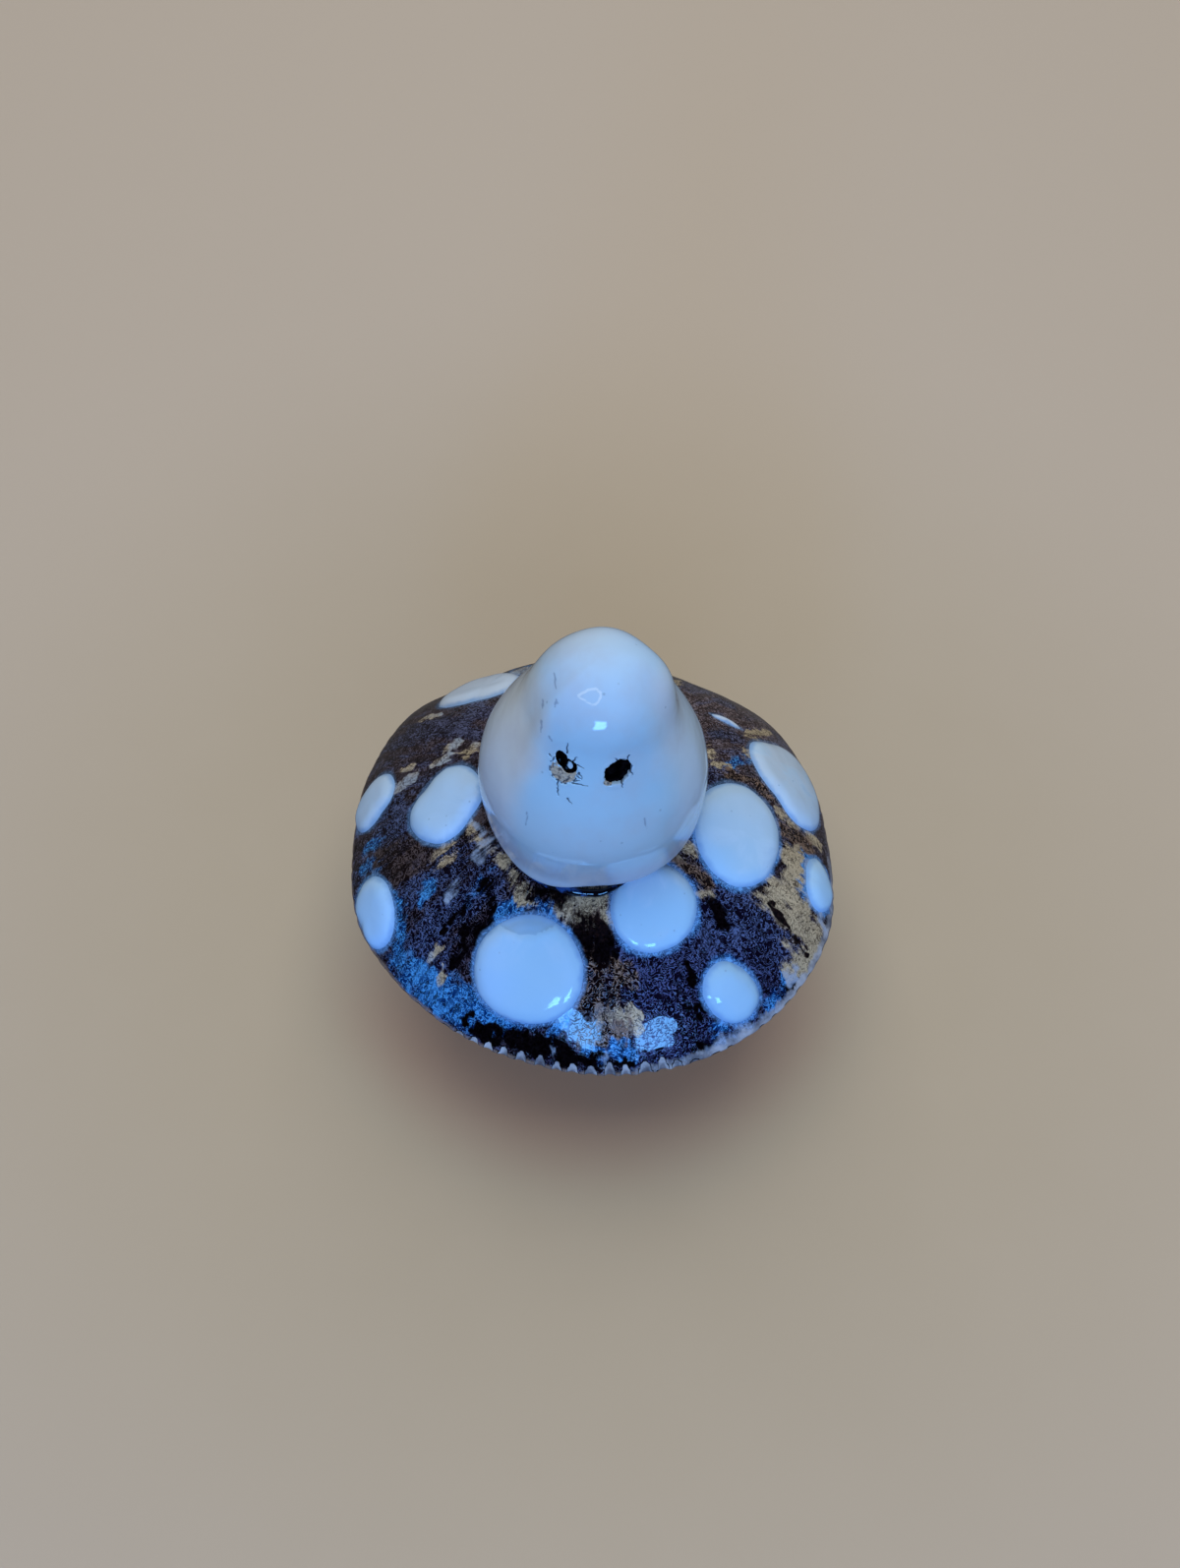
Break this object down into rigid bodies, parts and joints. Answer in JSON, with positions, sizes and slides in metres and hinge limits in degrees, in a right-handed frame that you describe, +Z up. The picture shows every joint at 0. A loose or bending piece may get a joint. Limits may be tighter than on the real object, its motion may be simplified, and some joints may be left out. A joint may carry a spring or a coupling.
{
  "type": "ghost on mushroom figurine",
  "caption": "Glazed ceramic figurine: a small white ghost with black eyes sitting on a dark, white-spotted mushroom with a gilled rim and a hollow stem.",
  "frame": {"origin": "middle of the stem's foot, on the table that the figurine stands on", "axes": "+Z up, -Y the side that the ghost faces, +X to the right of someone who looks at its face"},
  "size_m": [0.0765, 0.076, 0.083],
  "materials": {
    "cap_glaze": "glossy brown-black glaze broken with blue and tan",
    "stem_glaze": "glossy cream glaze over a bare clay foot",
    "ghost_glaze": "glossy white glaze with fine cracks",
    "eye_glaze": "glossy black glaze",
    "bead_glaze": "thick glossy blue-black glaze",
    "spot_glaze": "glossy white glaze with pale blue edges"
  },
  "bodies": {
    "root": {"mushroom_cap": "cap_glaze", "stem": "stem_glaze", "ghost_body": "ghost_glaze", "left_eye": "eye_glaze", "right_eye": "eye_glaze", "ghost_foot_bead": "bead_glaze", "spot_back_left": "spot_glaze", "spot_left_rim": "spot_glaze", "spot_left": "spot_glaze", "spot_front_left_rim": "spot_glaze", "spot_front_left": "spot_glaze", "spot_front": "spot_glaze", "spot_front_right_rim": "spot_glaze", "spot_right": "spot_glaze", "spot_right_rim": "spot_glaze", "spot_back_right_rim": "spot_glaze", "spot_back_right_sliver": "spot_glaze", "spot_back_upper": "spot_glaze", "spot_back_rim": "spot_glaze"}
  },
  "joints": []
}
